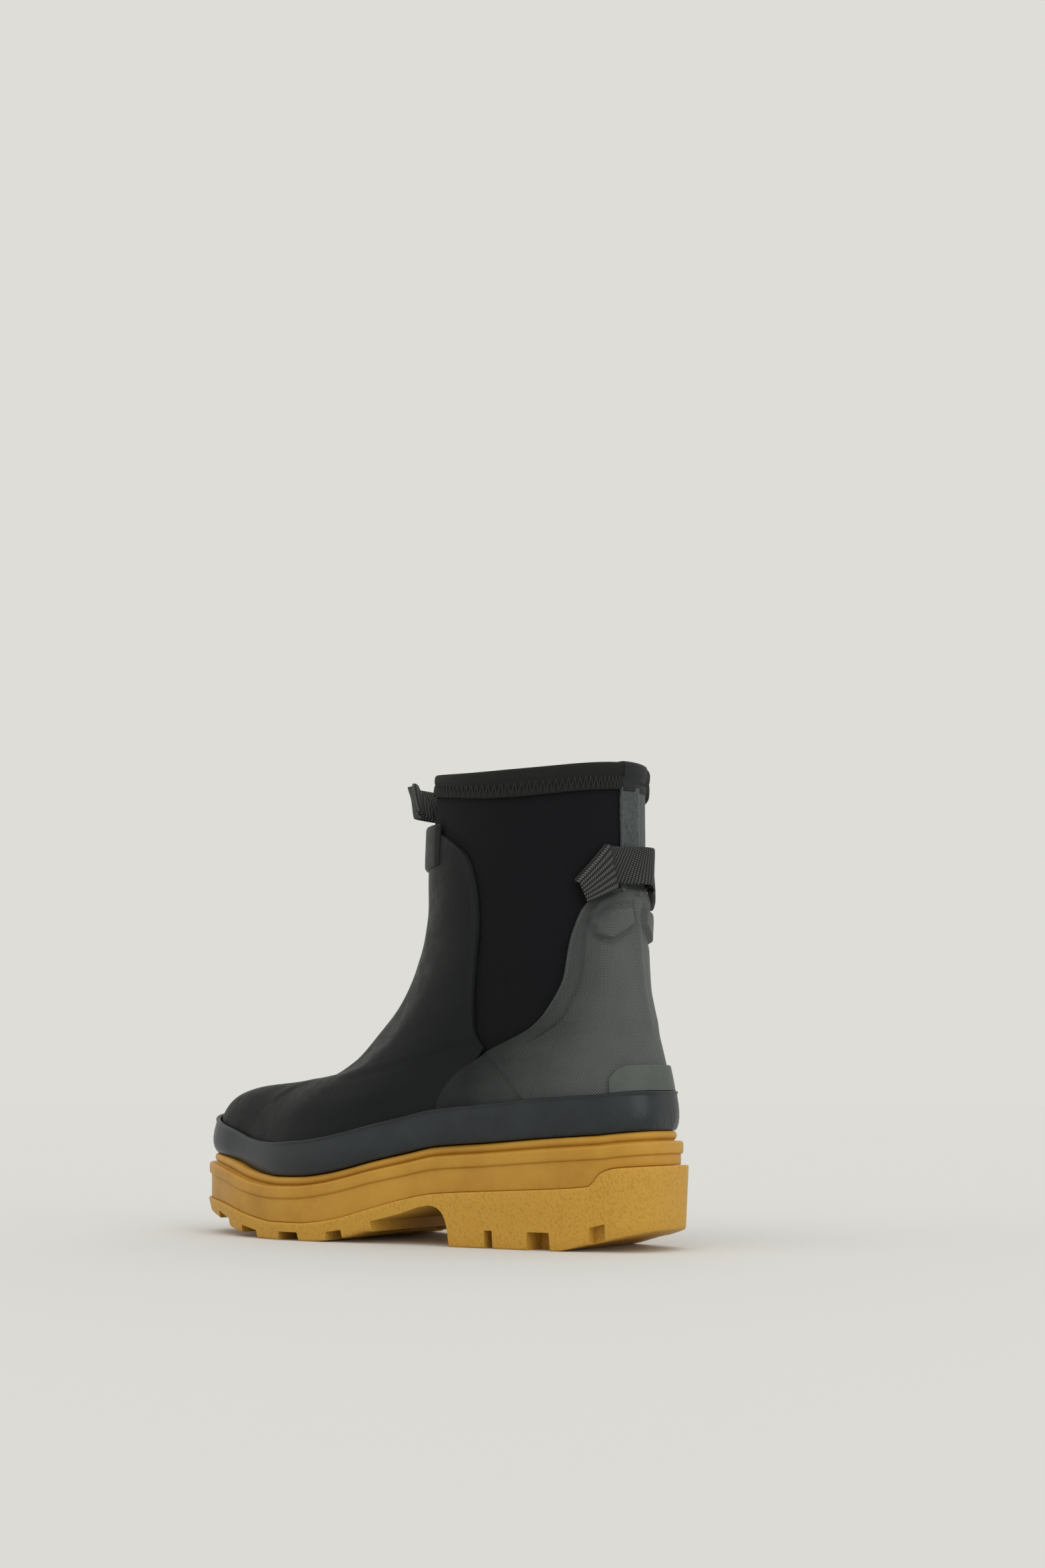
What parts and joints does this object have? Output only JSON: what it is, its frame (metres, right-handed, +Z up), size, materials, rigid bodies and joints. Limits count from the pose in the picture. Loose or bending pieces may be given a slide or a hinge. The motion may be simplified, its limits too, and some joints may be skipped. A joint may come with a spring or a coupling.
{
  "type": "rubber ankle boot",
  "caption": "Left pull-on ankle boot: hollow knitted upper with moulded rubber front and back, webbing pull loops and a thick lugged gum sole.",
  "frame": {"origin": "on the floor at the middle of the boot's footprint box", "axes": "+X towards the toe, +Y towards the wearer's outer (left) side, +Z up"},
  "size_m": [0.2888, 0.1026, 0.2315],
  "materials": {
    "knit": "matte black jersey knit",
    "binding_knit": "matte stretch binding",
    "webbing": "ribbed webbing",
    "footbed": "matte lining",
    "satin_rubber": "satin, dark green-black",
    "counter_rubber": "embossed with a fine woven dot texture",
    "dark_rubber": "semi-gloss",
    "grey_rubber": "smooth satin",
    "gum_rubber": "smooth satin gum",
    "tread_rubber": "pebbled grain gum"
  },
  "bodies": {
    "root": {"upper": "knit", "vamp": "satin_rubber", "heel_counter": "counter_rubber", "foxing_band": "dark_rubber", "heel_patch": "grey_rubber", "back_strip": "counter_rubber", "collar_binding": "binding_knit", "front_tab": "satin_rubber", "back_loop": "webbing", "front_loop": "webbing", "midsole": "gum_rubber", "outsole": "tread_rubber", "insole": "footbed"}
  },
  "joints": []
}
